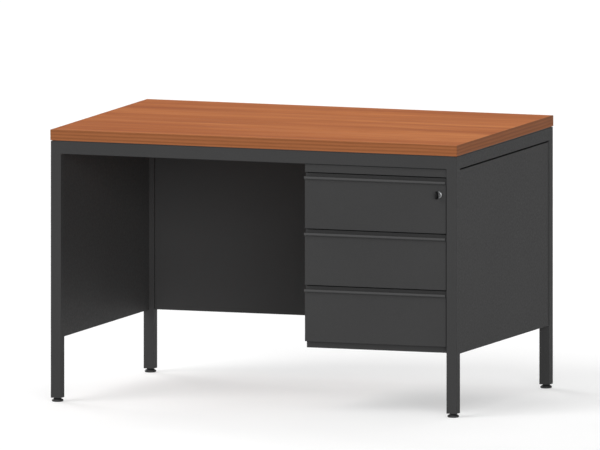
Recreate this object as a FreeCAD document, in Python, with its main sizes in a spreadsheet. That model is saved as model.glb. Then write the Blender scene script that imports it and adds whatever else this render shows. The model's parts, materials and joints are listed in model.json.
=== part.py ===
import FreeCAD, Part
import Sketcher
import os
import re

# Teacher desk: a wood-decor top on a square-tube steel frame with folded side and rear panels, a hung
# three-drawer pedestal on the right, a lock with its key in the top drawer, and four levelling feet.
# Millimetres. +X to the right seen from the front, front towards -Y, +Z up. Z = 0 is the floor.

DIMENSIONS = {
    # tabletop
    "desk_width": 1200,
    "desk_depth": 800,
    "desk_height": 762,
    "top_thickness": 30,
    "edge_band": 2,
    "edge_radius": 1,
    # frame of square tube
    "top_overhang": 1,
    "top_gap": 2,
    "leg_size": 30,
    "leg_wall": 2,
    "leg_radius": 1.2,
    "leg_bottom": 11.5,
    "rail_height": 35,
    "rail_width": 20,
    "rail_wall": 1.5,
    "rail_radius": 1.5,
    # brackets and wood screws under the top
    "tab_sheet": 2.5,
    "tab_length": 40,
    "tab_reach": 30,
    "tab_drop": 28,
    "tab_hole_reach": 18,
    "tab_side_offset": 200,
    "tab_front_offset": 450,
    "wood_screw_radius": 2.5,
    "wood_screw_length": 18,
    "wood_screw_head_radius": 5.5,
    "wood_screw_head_height": 3,
    "pilot_depth": 20,
    "screw_clearance": 0.2,
    "driver_clearance": 1,
    "pan_crown_share": 0.7,
    "pan_rim_share": 0.5,
    # folded panels between the legs
    "panel_bottom": 176.5,
    "panel_top": 691,
    "panel_thickness": 15,
    "panel_sheet": 1,
    "panel_radius": 1.5,
    "side_inset": 1.5,
    "rear_inset": 3,
    "liner_clearance": 0.2,
    "liner_lip": 7,
    # levelling feet
    "insert_height": 20,
    "insert_bore_radius": 4.1,
    "stud_radius": 4,
    "stud_top": 42,
    "stud_chamfer": 1,
    "foot_base_radius": 13,
    "foot_heel_radius": 15.6,
    "foot_heel_height": 1.2,
    "foot_flare_radius": 16.4,
    "foot_flare_low": 2.8,
    "foot_flare_high": 4.8,
    "foot_shoulder_radius": 15.2,
    "foot_shoulder_height": 6.2,
    "foot_neck_radius": 9,
    "foot_neck_height": 10.2,
    # pedestal
    "casing_left": 149,
    "casing_width": 416,
    "casing_front": 24,
    "casing_depth": 576,
    "casing_bottom": 178.5,
    "casing_top": 692,
    "casing_sheet": 1.2,
    "casing_flange": 12,
    "apron_height": 19.5,
    "fascia_bottom": 671.2,
    "fascia_top": 693.5,
    "hanger_width": 25,
    "hanger_sheet": 2,
    "hanger_margin": 12,
    "hanger_front_back": 90,
    "hanger_rear_back": 480,
    "bolt_offset": 150,
    "hanger_screw_offset": 100,
    "bolt_radius": 3,
    "bolt_head_radius": 5.77,
    "bolt_head_height": 4,
    "bolt_length": 12,
    "nut_height": 5,
    # drawers
    "drawer_pitch": 158,
    "lowest_drawer": 197.2,
    "front_height": 155,
    "front_thickness": 16,
    "front_sheet": 1,
    "front_radius": 0.7,
    "lip_reach": 8,
    "lip_thickness": 4.5,
    "lip_height": 6,
    "lip_drop": 8.5,
    "lip_round": 2.1,
    "flare_height": 4,
    "channel_drop": 20.5,
    "channel_back": 8,
    "channel_foot": 1.5,
    "channel_rise": 2.5,
    "channel_head": 1.5,
    "channel_sheet": 2,
    "box_height": 84,
    "box_depth": 540,
    "box_lift": 10,
    "box_sheet": 1,
    "box_rim": 6,
    "box_radius": 2,
    "box_screw_offset": 150,
    "box_screw_low": 20,
    "box_screw_high": 64,
    "box_screw_radius": 2,
    "box_screw_head_radius": 4,
    "box_screw_head_height": 2.2,
    "box_screw_length": 8,
    # telescopic runners, one pair for each drawer
    "runner_length": 500,
    "runner_start": 6,
    "runner_width": 12.7,
    "runner_height": 45,
    "runner_sheet": 1.2,
    "runner_outer_reach": 10,
    "runner_middle_height": 41.8,
    "runner_middle_near": 2,
    "runner_middle_web": 5.4,
    "runner_middle_far": 10,
    "runner_inner_height": 38.4,
    "runner_inner_near": 7.2,
    # lock in the top drawer
    "lock_from_right": 21,
    "lock_height": 108.8,
    "lock_shell_radius": 8,
    "lock_shell_depth": 19,
    "lock_bore_radius": 6.1,
    "rosette_radius": 10.4,
    "rosette_rim": 0.8,
    "rosette_slope_radius": 9,
    "rosette_slope_height": 2.4,
    "rosette_face_radius": 6.9,
    "rosette_height": 3.4,
    "lock_nut_radius": 11.4,
    "lock_nut_height": 3,
    "plug_radius": 6,
    "plug_face": 2.6,
    "tail_radius": 4,
    "tail_depth": 23,
    "cam_near": 19.5,
    "cam_sheet": 2,
    "cam_width": 10,
    "cam_hub_radius": 7,
    "cam_length": 17.5,
    "cam_arm_start": 4.5,
    "cam_tip_round": 4,
    "keyway_width": 2.3,
    "keyway_height": 7.4,
    "keyway_depth": 17,
    "key_sheet": 2,
    "key_height": 7,
    "key_depth": 16,
    "key_tip_length": 3,
    "key_first_bit": 4,
    "key_bit_depth": 1.4,
    "key_bit_pitch": 3,
    "bow_start": 6,
    "bow_length": 21.5,
    "bow_height": 22,
    "bow_thickness": 4.5,
    "bow_outer_round": 9,
    "bow_inner_round": 3,
    "bow_edge_round": 1,
    "bow_hole_radius": 2,
    "bow_hole_margin": 5,
    "strike_reach": 6.8,
    "strike_length": 20,
    "strike_depth": 20,
    "strike_behind": 1.2,
}

KEY_BITS = 4
DRAWERS = 3

NEAR = 0.01               # mm: places closer than this count as the same
NEARLY_PARALLEL = 0.999   # cosine of the angle between two directions that count as parallel
LEAST_CUT = 0.001         # mm3: a pocket that removes less than this cuts nothing

doc = FreeCAD.newDocument("TeacherDesk")
sizes = doc.addObject("Spreadsheet::Sheet", "Sizes")
for row, (word, number) in enumerate(DIMENSIONS.items(), 1):
    sizes.set(f"A{row}", word)
    sizes.set(f"B{row}", str(number))
    sizes.setAlias(f"B{row}", word)
doc.recompute()

nodes = []


# ---- formulas -------------------------------------------------------------------------------------

def cells(formula):
    """The formula with each word written as a cell of the sheet."""
    return re.sub(r"[a-z]\w*", lambda word: "Sizes." + word.group(), formula)


def value(formula):
    return float(sizes.evalExpression(cells(formula)))


def bind(item, name, formula):
    """Tie one property of an object to a formula of sheet words."""
    item.setExpression(name, cells(formula))


def place(item, x, y, z, axis=(0, 0, 1), angle=0):
    """Turn an object about its own origin and bind where that origin lies."""
    item.Placement = FreeCAD.Placement(FreeCAD.Vector(), FreeCAD.Rotation(FreeCAD.Vector(*axis), angle))
    for coordinate, formula in zip("xyz", (x, y, z)):
        bind(item, "Placement.Base." + coordinate, formula)


# Formulas used by several sub-parts. The key stands further forward than the tabletop, and the origin
# is under the middle of the whole desk with its key.
KEY_OVERHANG = "(bow_start + bow_length + front_thickness - casing_front)"
SLAB_MIDDLE = f"({KEY_OVERHANG} / 2)"
SLAB_FRONT = f"({SLAB_MIDDLE} - desk_depth / 2)"
SLAB_REAR = f"({SLAB_MIDDLE} + desk_depth / 2)"
SLAB_BOTTOM = "(desk_height - top_thickness)"
LEG_OUTER_X = "(desk_width / 2 - top_overhang)"
FRAME_FRONT = f"({SLAB_FRONT} + top_overhang)"
FRAME_REAR = f"({SLAB_REAR} - top_overhang)"
RAIL_TOP = f"({SLAB_BOTTOM} - top_gap)"
SPAN_X = "(desk_width - 2 * top_overhang - 2 * leg_size)"
SPAN_Y = "(desk_depth - 2 * top_overhang - 2 * leg_size)"
PANEL_HEIGHT = "(panel_top - panel_bottom)"
CASING_FRONT = f"({SLAB_FRONT} + casing_front)"
CASING_RIGHT = "(casing_left + casing_width)"
CASING_MIDDLE = "(casing_left + casing_width / 2)"
FACE = f"({CASING_FRONT} - front_thickness)"
TOP_DRAWER = "(lowest_drawer + 2 * drawer_pitch)"
LOCK_X = f"({CASING_RIGHT} - lock_from_right)"
LOCK_Z = f"({TOP_DRAWER} + lock_height)"


# ---- sketches and features ------------------------------------------------------------------------

def node(item):
    """Keep an object as a sub-part; its label names its file."""
    nodes.append(item)
    return item


def new_body(label, x="0", y="0", z="0", axis=(0, 0, 1), angle=0):
    body = doc.addObject("PartDesign::Body", label)
    body.Label = label
    place(body, x, y, z, axis, angle)
    return body


def sketch_on(body, plane, offset="0"):
    """A sketch on one of the body's origin planes, moved along the plane's normal by offset."""
    support = next(feature for feature in body.Origin.OriginFeatures if feature.Role == plane)
    sketch = body.newObject("Sketcher::SketchObject", body.Name + "_sketch")
    sketch.AttachmentSupport = [(support, "")]
    sketch.MapMode = "FlatFace"
    if offset != "0":
        bind(sketch, "AttachmentOffset.Base.z", offset)
    return sketch


def pin(sketch, kind, element, position, formula):
    """Dimension a point of the sketch from its origin."""
    index = sketch.addConstraint(Sketcher.Constraint(kind, -1, 1, element, position, value(formula)))
    if re.search("[a-z]", formula):
        sketch.setExpression(f"Constraints[{index}]", cells(formula))


def add_polygon(sketch, corners):
    """Straight lines through corners, each a pair of formulas, closed back to the first."""
    points = [FreeCAD.Vector(value(u), value(v), 0) for u, v in corners]
    first = sketch.GeometryCount
    count = len(corners)
    for index, point in enumerate(points):
        sketch.addGeometry(Part.LineSegment(point, points[(index + 1) % count]), False)
    for index, (u, v) in enumerate(corners):
        following = first + (index + 1) % count
        sketch.addConstraint(Sketcher.Constraint("Coincident", first + index, 2, following, 1))
        pin(sketch, "DistanceX", first + index, 1, u)
        pin(sketch, "DistanceY", first + index, 1, v)


def add_rectangle(sketch, u_low, v_low, u_high, v_high):
    add_polygon(sketch, [(u_low, v_low), (u_high, v_low), (u_high, v_high), (u_low, v_high)])


def add_circle(sketch, u, v, radius):
    centre = FreeCAD.Vector(value(u), value(v), 0)
    circle = sketch.addGeometry(Part.Circle(centre, FreeCAD.Vector(0, 0, 1), value(radius)), False)
    pin(sketch, "DistanceX", circle, 3, u)
    pin(sketch, "DistanceY", circle, 3, v)
    index = sketch.addConstraint(Sketcher.Constraint("Radius", circle, value(radius)))
    sketch.setExpression(f"Constraints[{index}]", cells(radius))


def extrude(kind, sketch, length, backwards=False):
    """A Pad along the sketch's normal, or a Pocket against it; backwards turns either round."""
    body = sketch.getParentGeoFeatureGroup()
    feature = body.newObject("PartDesign::" + kind, f"{body.Name}_{kind.lower()}")
    feature.Profile = sketch
    feature.Reversed = backwards
    bind(feature, "Length", length)
    return feature


def pad(sketch, length, backwards=False):
    return extrude("Pad", sketch, length, backwards)


def pocket(sketch, depth, backwards=False):
    """Cut a pocket and make sure that it removed material."""
    body = sketch.getParentGeoFeatureGroup()
    doc.recompute()
    before = body.Tip.Shape.Volume
    feature = extrude("Pocket", sketch, depth, backwards)
    doc.recompute()
    if not feature.Shape.Volume < before - LEAST_CUT:
        raise RuntimeError(body.Label + ": a pocket cuts nothing")
    return feature


def revolve(body, corners):
    """Turn a half section, given as (radius, height) formulas, about the body's Z axis."""
    sketch = sketch_on(body, "XZ_Plane")
    add_polygon(sketch, corners)
    feature = body.newObject("PartDesign::Revolution", body.Name + "_revolution")
    feature.Profile = sketch
    feature.ReferenceAxis = (sketch, ["V_Axis"])
    feature.Angle = 360
    return feature


def runs_along(edge, axis):
    """True for a straight edge parallel to axis, a letter."""
    if edge.Curve.TypeId != "Part::GeomLine":
        return False
    return abs(getattr(edge.Curve.Direction, axis)) > NEARLY_PARALLEL


def passes(edge, **places):
    """True where the middle of the edge has the given coordinates."""
    middle = edge.valueAt((edge.FirstParameter + edge.LastParameter) / 2)
    return all(abs(getattr(middle, axis) - number) < NEAR for axis, number in places.items())


def fillet(body, radius, wanted):
    """Round every edge of the body's last feature for which wanted(edge) is true."""
    doc.recompute()
    base = body.Tip
    names = [f"Edge{index}" for index, edge in enumerate(base.Shape.Edges, 1) if wanted(edge)]
    if not names:
        raise RuntimeError(body.Label + ": no edge to round")
    feature = body.newObject("PartDesign::Fillet", body.Name + "_fillet")
    feature.Base = (base, names)
    bind(feature, "Radius", radius)
    return feature


def group(label, copies):
    """One node of separate solids: copies holds (master, x, y, z, axis, angle)."""
    compound = doc.addObject("Part::Compound", label)
    compound.Label = label
    links = []
    for index, (master, *placing) in enumerate(copies, 1):
        link = doc.addObject("App::Link", f"{label}_{index}")
        link.LinkedObject = master
        place(link, *placing)
        links.append(link)
    compound.Links = links
    return node(compound)


def tray(body, length, height, depth, sheet, radius):
    """A folded sheet tray: its face in the XZ plane, open towards +Y, its face edges bent round."""
    face = sketch_on(body, "XZ_Plane")
    add_rectangle(face, "0", "0", length, height)
    pad(face, sheet, backwards=True)
    flanges = sketch_on(body, "XZ_Plane")
    add_rectangle(flanges, "0", "0", length, height)
    add_rectangle(flanges, sheet, sheet, f"{length} - {sheet}", f"{height} - {sheet}")
    pad(flanges, depth, backwards=True)
    fillet(body, radius, lambda edge: passes(edge, y=0))


# ---- tabletop -------------------------------------------------------------------------------------

TAB_INSET = "(rail_width + tab_hole_reach)"
TAB_PLACES = [
    # (x, y, angle): where each bracket meets its rail's inner face, and which way it points
    *[(f"{side} * tab_front_offset", f"{FRAME_FRONT} + rail_width", 0) for side in (-1, 0, 1)],
    *[(f"{side} * tab_front_offset", f"{FRAME_REAR} - rail_width", 180) for side in (-1, 0, 1)],
    *[(f"rail_width - {LEG_OUTER_X}", f"{SLAB_MIDDLE} + {side} * tab_side_offset", -90)
      for side in (-1, 1)],
    *[(f"{LEG_OUTER_X} - rail_width", f"{SLAB_MIDDLE} + {side} * tab_side_offset", 90)
      for side in (-1, 1)],
]
TAB_SCREWS = [
    *[(f"{side} * tab_front_offset", f"{FRAME_FRONT} + {TAB_INSET}") for side in (-1, 0, 1)],
    *[(f"{side} * tab_front_offset", f"{FRAME_REAR} - {TAB_INSET}") for side in (-1, 0, 1)],
    *[(f"{side} * ({LEG_OUTER_X} - {TAB_INSET})", f"{SLAB_MIDDLE} + {end} * tab_side_offset")
      for side in (-1, 1) for end in (-1, 1)],
]
HANGER_YS = [f"({CASING_FRONT} + hanger_front_back)", f"({CASING_FRONT} + hanger_rear_back)"]
HANGER_SCREWS = [(f"{CASING_MIDDLE} + {side} * hanger_screw_offset", f"{y} + hanger_width / 2")
                 for y in HANGER_YS for side in (-1, 1)]


def make_tabletop():
    core = node(new_body("tabletop_core", z=SLAB_BOTTOM))
    outline = sketch_on(core, "XY_Plane")
    add_rectangle(outline, "edge_band - desk_width / 2", f"{SLAB_FRONT} + edge_band",
                  "desk_width / 2 - edge_band", f"{SLAB_REAR} - edge_band")
    pad(outline, "top_thickness")
    pilots = sketch_on(core, "XY_Plane")
    for x, y in TAB_SCREWS + HANGER_SCREWS:
        add_circle(pilots, x, y, "wood_screw_radius")
    pocket(pilots, "pilot_depth", backwards=True)


def make_edge_bands():
    """Long strips on the front and rear edges, short ones between them; outer edges eased."""
    for name, low in (("front", SLAB_FRONT), ("rear", f"{SLAB_REAR} - edge_band")):
        band = node(new_body("edge_band_" + name, "-desk_width / 2", low, SLAB_BOTTOM))
        section = sketch_on(band, "YZ_Plane")
        add_rectangle(section, "0", "0", "edge_band", "top_thickness")
        pad(section, "desk_width")
        outer = 0 if name == "front" else value("edge_band")
        fillet(band, "edge_radius", lambda edge: passes(edge, y=outer))
    for name, low in (("left", "-desk_width / 2"), ("right", "desk_width / 2 - edge_band")):
        band = node(new_body("edge_band_" + name, low, f"{SLAB_FRONT} + edge_band", SLAB_BOTTOM))
        section = sketch_on(band, "XZ_Plane")
        add_rectangle(section, "0", "0", "edge_band", "top_thickness")
        pad(section, "desk_depth - 2 * edge_band", backwards=True)
        outer = 0 if name == "left" else value("edge_band")
        fillet(band, "edge_radius", lambda edge: passes(edge, x=outer) and runs_along(edge, "y"))


def make_top_fixings():
    tab = new_body("tab_master")
    section = sketch_on(tab, "YZ_Plane", "-tab_length / 2")
    add_polygon(section, [("0", "-tab_drop"), ("tab_sheet", "-tab_drop"), ("tab_sheet", "-tab_sheet"),
                          ("tab_reach", "-tab_sheet"), ("tab_reach", "0"), ("0", "0")])
    pad(section, "tab_length")
    fillet(tab, "tab_sheet", lambda edge: passes(edge, y=0, z=0))
    hole = sketch_on(tab, "XY_Plane")
    add_circle(hole, "0", "tab_hole_reach", "wood_screw_radius + screw_clearance")
    pocket(hole, "tab_sheet")
    group("top_fixing_tabs", [(tab, x, y, SLAB_BOTTOM, (0, 0, 1), angle) for x, y, angle in TAB_PLACES])

    screw = pan_screw("wood_screw")
    group("tabletop_screws", [(screw, x, y, f"{SLAB_BOTTOM} - tab_sheet", (0, 0, 1), 0)
                              for x, y in TAB_SCREWS])
    return screw


def pan_screw(size):
    """A screw up the Z axis, its head seated at Z = 0; size is the first part of its sheet words."""
    screw = new_body(size + "_master")
    revolve(screw, [("0", f"-{size}_head_height"),
                    (f"{size}_head_radius * pan_crown_share", f"-{size}_head_height"),
                    (f"{size}_head_radius", f"-{size}_head_height * pan_rim_share"),
                    (f"{size}_head_radius", "0"), (f"{size}_radius", "0"),
                    (f"{size}_radius", f"{size}_length - {size}_radius"), ("0", f"{size}_length")])
    return screw


# ---- frame ----------------------------------------------------------------------------------------

LEGS = [(depth, width, x, y)
        for depth, y in (("front", FRAME_FRONT), ("rear", f"{FRAME_REAR} - leg_size"))
        for width, x in (("left", f"-{LEG_OUTER_X}"), ("right", f"{LEG_OUTER_X} - leg_size"))]


def make_legs():
    for depth, width, x, y in LEGS:
        leg = node(new_body(f"leg_{depth}_{width}", x, y, "leg_bottom"))
        section = sketch_on(leg, "XY_Plane")
        add_rectangle(section, "0", "0", "leg_size", "leg_size")
        add_rectangle(section, "leg_wall", "leg_wall", "leg_size - leg_wall", "leg_size - leg_wall")
        pad(section, f"{RAIL_TOP} - leg_bottom")
        far = value("leg_size")
        fillet(leg, "leg_radius", lambda edge: any(passes(edge, x=x, y=y) for x in (0, far)
                                                   for y in (0, far)) and runs_along(edge, "z"))


def make_rails():
    """Rectangular tubes between the legs, flush with the legs' outer faces."""
    rails = (
        ("front", "YZ_Plane", SPAN_X, False, f"-{SPAN_X} / 2", FRAME_FRONT),
        ("rear", "YZ_Plane", SPAN_X, False, f"-{SPAN_X} / 2", f"{FRAME_REAR} - rail_width"),
        ("left", "XZ_Plane", SPAN_Y, True, f"-{LEG_OUTER_X}", f"{FRAME_FRONT} + leg_size"),
        ("right", "XZ_Plane", SPAN_Y, True, f"{LEG_OUTER_X} - rail_width", f"{FRAME_FRONT} + leg_size"),
    )
    for name, plane, length, backwards, x, y in rails:
        rail = node(new_body("rail_" + name, x, y, f"{RAIL_TOP} - rail_height"))
        section = sketch_on(rail, plane)
        add_rectangle(section, "0", "0", "rail_width", "rail_height")
        add_rectangle(section, "rail_wall", "rail_wall", "rail_width - rail_wall",
                      "rail_height - rail_wall")
        pad(section, length, backwards)
        across, along = ("y", "x") if plane == "YZ_Plane" else ("x", "y")
        sides = (0, value("rail_width"))
        heights = (0, value("rail_height"))
        fillet(rail, "rail_radius", lambda edge: runs_along(edge, along) and any(
            passes(edge, **{across: side, "z": height}) for side in sides for height in heights))


def make_feet():
    """A threaded insert in each leg's end, and a glide on a stud that screws up into it."""
    insert = new_body("insert_master")
    section = sketch_on(insert, "XY_Plane")
    low, high = "leg_wall - leg_size / 2", "leg_size / 2 - leg_wall"
    add_rectangle(section, low, low, high, high)
    add_circle(section, "0", "0", "insert_bore_radius")
    pad(section, "insert_height")
    centres = [(depth, width, f"{x} + leg_size / 2", f"{y} + leg_size / 2") for depth, width, x, y in LEGS]
    group("foot_inserts", [(insert, x, y, "leg_bottom", (0, 0, 1), 0) for _, _, x, y in centres])

    for depth, width, x, y in centres:
        foot = node(new_body(f"foot_{depth}_{width}", x, y))
        revolve(foot, [("0", "0"), ("foot_base_radius", "0"),
                       ("foot_heel_radius", "foot_heel_height"),
                       ("foot_flare_radius", "foot_flare_low"), ("foot_flare_radius", "foot_flare_high"),
                       ("foot_shoulder_radius", "foot_shoulder_height"),
                       ("foot_neck_radius", "foot_neck_height"), ("foot_neck_radius", "leg_bottom"),
                       ("stud_radius", "leg_bottom"), ("stud_radius", "stud_top - stud_chamfer"),
                       ("stud_radius - stud_chamfer", "stud_top"), ("0", "stud_top")])


# ---- panels ---------------------------------------------------------------------------------------

def make_panels():
    """Each panel is an outer folded tray closed by an inner liner; the trays turn their faces out."""
    side_outer = f"({LEG_OUTER_X} - side_inset)"
    rear_outer = f"({FRAME_REAR} - rear_inset)"
    front_end = f"{FRAME_FRONT} + leg_size"
    rear_end = f"{FRAME_REAR} - leg_size"
    panels = (
        ("side_panel_left", SPAN_Y, -90, (f"-{side_outer}", rear_end),
         (f"panel_thickness - {side_outer}", rear_end)),
        ("side_panel_right", SPAN_Y, 90, (side_outer, front_end),
         (f"{side_outer} - panel_thickness", front_end)),
        ("modesty_panel", SPAN_X, 180, (f"{SPAN_X} / 2", rear_outer),
         (f"{SPAN_X} / 2", f"{rear_outer} - panel_thickness")),
    )
    for name, length, angle, outer, inner in panels:
        skin = node(new_body(name, *outer, "panel_bottom", angle=angle))
        tray(skin, length, PANEL_HEIGHT, "panel_thickness - panel_sheet", "panel_sheet", "panel_radius")

        liner = node(new_body(name + "_liner", *inner, "panel_bottom", angle=angle))
        plate = sketch_on(liner, "XZ_Plane")
        add_rectangle(plate, "0", "0", length, PANEL_HEIGHT)
        pad(plate, "panel_sheet")
        lip = sketch_on(liner, "XZ_Plane")
        near = "panel_sheet + liner_clearance"
        within = "2 * panel_sheet + liner_clearance"
        add_rectangle(lip, near, near, f"{length} - ({near})", f"{PANEL_HEIGHT} - ({near})")
        add_rectangle(lip, within, within, f"{length} - ({within})", f"{PANEL_HEIGHT} - ({within})")
        pad(lip, "liner_lip")


# ---- pedestal -------------------------------------------------------------------------------------

def make_casing():
    """Sheet walls, base and top plate, with the fascia over the top drawer."""
    wall_top = "casing_top - casing_sheet"
    wall_height = f"({wall_top} - casing_bottom - casing_sheet)"
    for name, x, inward in (("left", "casing_left", 1), ("right", CASING_RIGHT, -1)):
        wall = node(new_body("pedestal_side_" + name, x, f"{CASING_FRONT} + casing_sheet",
                             "casing_bottom + casing_sheet"))
        section = sketch_on(wall, "XZ_Plane")
        sheet, flange = f"{inward} * casing_sheet", f"{inward} * casing_flange"
        inner_top = f"{wall_height} - casing_sheet"
        add_polygon(section, [("0", "0"), (flange, "0"), (flange, "casing_sheet"), (sheet, "casing_sheet"),
                              (sheet, inner_top), (flange, inner_top), (flange, wall_height),
                              ("0", wall_height)])
        pad(section, "casing_depth - casing_sheet", backwards=True)

    rear = node(new_body("pedestal_rear", "casing_left + casing_sheet", f"{CASING_FRONT} + casing_depth",
                         "casing_bottom + casing_sheet"))
    face = sketch_on(rear, "XZ_Plane")
    add_rectangle(face, "0", "0", "casing_width - 2 * casing_sheet", wall_height)
    pad(face, "casing_sheet", backwards=True)

    flange_up = "apron_height"
    flange_down = "casing_sheet - casing_flange"
    plates = (
        ("pedestal_base", "casing_bottom", "casing_sheet", flange_up),
        ("pedestal_top", "casing_top - casing_sheet", "0", flange_down),
    )
    for name, z, start, end in plates:
        plate = node(new_body(name, "casing_left", CASING_FRONT, z))
        sheet = sketch_on(plate, "XY_Plane")
        add_rectangle(sheet, "0", "0", "casing_width", "casing_depth + casing_sheet")
        if name == "pedestal_top":
            for side in (-1, 1):
                for y in HANGER_YS:
                    add_circle(sheet, f"casing_width / 2 + {side} * bolt_offset",
                               f"{y} + hanger_width / 2 - {CASING_FRONT}", "bolt_radius")
        pad(sheet, "casing_sheet")
        flange = sketch_on(plate, "XZ_Plane")
        add_rectangle(flange, "0", start, "casing_width", end)
        pad(flange, "casing_sheet", backwards=True)

    fascia = node(new_body("pedestal_fascia", "casing_left", FACE, "fascia_bottom"))
    reach = f"({SPAN_X} / 2 - casing_left)"
    tray(fascia, reach, "(fascia_top - fascia_bottom)", "front_thickness", "front_sheet", "front_radius")


def make_hangers(wood_screw):
    """Channels that hang the casing from the top, their bolts and nuts, and their wood screws."""
    height = f"({SLAB_BOTTOM} - casing_top)"
    for name, y in zip(("front", "rear"), HANGER_YS):
        hanger = node(new_body("pedestal_hanger_" + name, "casing_left + hanger_margin", y, "casing_top"))
        section = sketch_on(hanger, "YZ_Plane")
        add_polygon(section, [("0", "0"), ("hanger_width", "0"), ("hanger_width", "hanger_sheet"),
                              ("hanger_sheet", "hanger_sheet"),
                              ("hanger_sheet", f"{height} - tab_sheet"),
                              ("hanger_width", f"{height} - tab_sheet"), ("hanger_width", height),
                              ("0", height)])
        pad(section, "casing_width - 2 * hanger_margin")
        holes = sketch_on(hanger, "XY_Plane")
        middle = "(casing_width / 2 - hanger_margin)"
        for side in (-1, 1):
            add_circle(holes, f"{middle} + {side} * bolt_offset", "hanger_width / 2", "bolt_radius")
            add_circle(holes, f"{middle} + {side} * hanger_screw_offset", "hanger_width / 2",
                       "wood_screw_head_radius + driver_clearance")
        pocket(holes, "hanger_sheet", backwards=True)
        top_holes = sketch_on(hanger, "XY_Plane", height)
        for side in (-1, 1):
            add_circle(top_holes, f"{middle} + {side} * hanger_screw_offset", "hanger_width / 2",
                       "wood_screw_radius + screw_clearance")
        pocket(top_holes, "tab_sheet")

    head = doc.addObject("Part::Prism", "bolt_head")
    shaft = doc.addObject("Part::Cylinder", "bolt_shaft")
    bind(head, "Circumradius", "bolt_head_radius")
    bind(head, "Height", "bolt_head_height")
    bind(shaft, "Radius", "bolt_radius")
    bind(shaft, "Height", "bolt_head_height + bolt_length")
    bolt = doc.addObject("Part::Fuse", "bolt_master")
    bolt.Base, bolt.Tool = head, shaft
    nut = hex_nut("bolt_nut_master", "bolt_head_radius", "bolt_radius", "nut_height")
    bolt_places = [(f"{CASING_MIDDLE} + {side} * bolt_offset", f"{y} + hanger_width / 2")
                   for y in HANGER_YS for side in (-1, 1)]
    upright = ((0, 0, 1), 0)
    group("pedestal_bolts", [
        *[(bolt, x, y, "casing_top - casing_sheet - bolt_head_height", *upright) for x, y in bolt_places],
        *[(nut, x, y, "casing_top + hanger_sheet", *upright) for x, y in bolt_places],
        *[(wood_screw, x, y, f"{SLAB_BOTTOM} - tab_sheet", *upright) for x, y in HANGER_SCREWS],
    ])


def hex_nut(name, radius, bore, height):
    block = doc.addObject("Part::Prism", name + "_block")
    hole = doc.addObject("Part::Cylinder", name + "_hole")
    bind(block, "Circumradius", radius)
    bind(block, "Height", height)
    bind(hole, "Radius", bore)
    bind(hole, "Height", height)
    nut = doc.addObject("Part::Cut", name)
    nut.Base, nut.Tool = block, hole
    return nut


# ---- drawers --------------------------------------------------------------------------------------

def drawer_bottom(number):
    """Underside of a drawer's front; drawer 1 is the top one."""
    return f"(lowest_drawer + {DRAWERS - number} * drawer_pitch)"


def make_drawer_front(number):
    """A folded front whose head is bent forward into a lip over a finger channel."""
    front = node(new_body(f"drawer_{number}_front", "casing_left", FACE, drawer_bottom(number)))
    lip_top = "front_height - lip_drop"
    lip_bottom = f"{lip_top} - lip_height"
    flare_bottom = f"{lip_bottom} - flare_height"
    floor = "front_height - channel_drop"
    inner = "lip_thickness - lip_reach"
    section = sketch_on(front, "YZ_Plane")
    add_polygon(section, [
        ("0", "0"), ("0", flare_bottom), ("-lip_reach", lip_bottom), ("-lip_reach", lip_top),
        (inner, lip_top), (inner, f"{lip_bottom} + channel_head"),
        ("channel_foot", f"{floor} + channel_rise"), ("channel_foot", floor),
        ("channel_back", floor), ("channel_back", "front_height"),
        ("front_thickness", "front_height"), ("front_thickness", "0"),
    ])
    pad(section, "casing_width")
    reach = value("-lip_reach")
    fillet(front, "lip_round", lambda edge: runs_along(edge, "x") and any(
        passes(edge, y=y, z=value(z)) for y, z in
        ((reach, lip_top), (value(inner), lip_top), (reach, lip_bottom), (0, flare_bottom))))
    fillet(front, "front_radius", lambda edge: runs_along(edge, "x") and any(
        passes(edge, y=value(y), z=value(z)) for y, z in
        (("0", "0"), ("front_thickness", "0"), ("channel_back", "front_height"),
         ("front_thickness", "front_height"))))

    hollow = sketch_on(front, "XY_Plane")
    add_rectangle(hollow, "front_sheet", "front_sheet", "casing_width - front_sheet",
                  "front_thickness - front_sheet")
    pocket(hollow, f"{floor} - channel_sheet", backwards=True)

    screw_holes = sketch_on(front, "XZ_Plane", "-front_thickness")
    for side in (-1, 1):
        for height in ("box_screw_low", "box_screw_high"):
            add_circle(screw_holes, f"casing_width / 2 + {side} * box_screw_offset",
                       f"box_lift + {height}", "box_screw_radius")
    pocket(screw_holes, "front_sheet", backwards=True)
    if number == 1:
        lock_hole = sketch_on(front, "XZ_Plane")
        add_circle(lock_hole, "casing_width - lock_from_right", "lock_height", "lock_shell_radius")
        pocket(lock_hole, "front_thickness")


def make_drawer_box(number):
    """A folded sheet box with an inturned rim, screwed to the back of its front."""
    box = node(new_body(f"drawer_{number}_box", "casing_left + casing_sheet + runner_width", CASING_FRONT,
                        f"{drawer_bottom(number)} + box_lift"))
    width = "(casing_width - 2 * casing_sheet - 2 * runner_width)"
    floor = sketch_on(box, "XY_Plane")
    add_rectangle(floor, "0", "0", width, "box_depth")
    pad(floor, "box_sheet")
    walls = sketch_on(box, "XY_Plane")
    add_rectangle(walls, "0", "0", width, "box_depth")
    add_rectangle(walls, "box_sheet", "box_sheet", f"{width} - box_sheet", "box_depth - box_sheet")
    pad(walls, "box_height")
    rim = sketch_on(box, "XY_Plane", "box_height - box_sheet")
    add_rectangle(rim, "0", "0", width, "box_depth")
    add_rectangle(rim, "box_rim", "box_rim", f"{width} - box_rim", "box_depth - box_rim")
    pad(rim, "box_sheet")
    far_x, far_y = value(width), value("box_depth")
    fillet(box, "box_radius", lambda edge: runs_along(edge, "z") and any(
        passes(edge, x=x, y=y) for x in (0, far_x) for y in (0, far_y)))
    holes = sketch_on(box, "XZ_Plane")
    for side in (-1, 1):
        for height in ("box_screw_low", "box_screw_high"):
            add_circle(holes, f"{width} / 2 + {side} * box_screw_offset", height, "box_screw_radius")
    pocket(holes, "box_sheet")


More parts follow.
